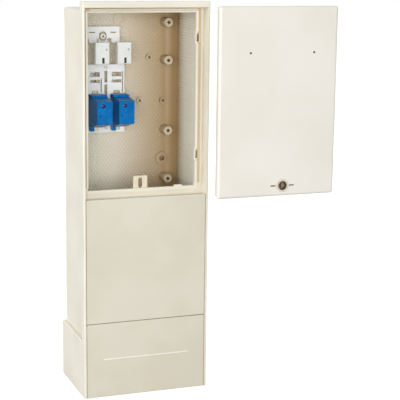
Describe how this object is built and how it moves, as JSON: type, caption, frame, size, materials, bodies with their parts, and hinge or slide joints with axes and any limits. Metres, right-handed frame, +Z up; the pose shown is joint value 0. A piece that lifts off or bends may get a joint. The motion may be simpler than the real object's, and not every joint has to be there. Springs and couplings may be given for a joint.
{
  "type": "meter pillar",
  "caption": "Free-standing outdoor meter pillar: moulded tub with hook-in cable and plinth panels, a lift-off lever-lock door and pull-out fuse carriers below screw terminals.",
  "frame": {"origin": "middle of the foot's bottom face, on the ground under the pillar", "axes": "+X to the right seen from the front, +Y to the back, +Z up"},
  "size_m": [0.4641, 0.2864, 0.762],
  "materials": {
    "casing": "matte",
    "panel": "matte",
    "door": "matte",
    "keeper": "matte",
    "lock": "satin",
    "lock_metal": "satin",
    "screw": "satin",
    "plate": "satin",
    "terminal": "satin",
    "clamp": "satin",
    "copper": "satin",
    "jaw": "satin",
    "carrier": "satin",
    "fuse": "satin"
  },
  "bodies": {
    "pillar": {"body_shell": "casing", "plinth_panel": "panel", "door_keeper": "keeper", "keeper_screws": "screw", "mounting_plate": "plate", "plate_screws": "screw", "jaw_screws": "screw", "terminal_screws": "screw", "terminal_housing_left": "terminal", "terminal_clamp_left": "clamp", "link_bar_left": "copper", "upper_jaw_left": "jaw", "lower_jaw_left": "jaw", "terminal_housing_right": "terminal", "terminal_clamp_right": "clamp", "link_bar_right": "copper", "upper_jaw_right": "jaw", "lower_jaw_right": "jaw"},
    "cable_panel": {"cable_panel": "panel"},
    "door": {"door_panel": "door", "lock_sleeve": "lock", "lock_nut": "lock_metal"},
    "lock": {"lock_spindle": "lock_metal", "lock_bar": "lock_metal", "bar_screw": "screw"},
    "carrier_left": {"fuse_carrier_left": "carrier", "fuse_left": "fuse"},
    "carrier_right": {"fuse_carrier_right": "carrier", "fuse_right": "fuse"}
  },
  "joints": [
    {"name": "door_carry", "type": "slide", "parent": "pillar", "child": "door", "axis": [-0.9439, 0.3304, 0], "range_m": [0, 0.2331]},
    {"name": "lock_turn", "type": "hinge", "parent": "door", "child": "lock", "pos_m": [0.232, -0.189, 0.4225], "axis": [0, -1, 0], "range_deg": [0, 90]},
    {"name": "cable_panel_lift", "type": "slide", "parent": "pillar", "child": "cable_panel", "axis": [0, 0, 1], "range_m": [0, 0.018]},
    {"name": "carrier_left_pull", "type": "slide", "parent": "pillar", "child": "carrier_left", "axis": [0, -1, 0], "range_m": [0, 0.045]},
    {"name": "carrier_right_pull", "type": "slide", "parent": "pillar", "child": "carrier_right", "axis": [0, -1, 0], "range_m": [0, 0.045]}
  ]
}
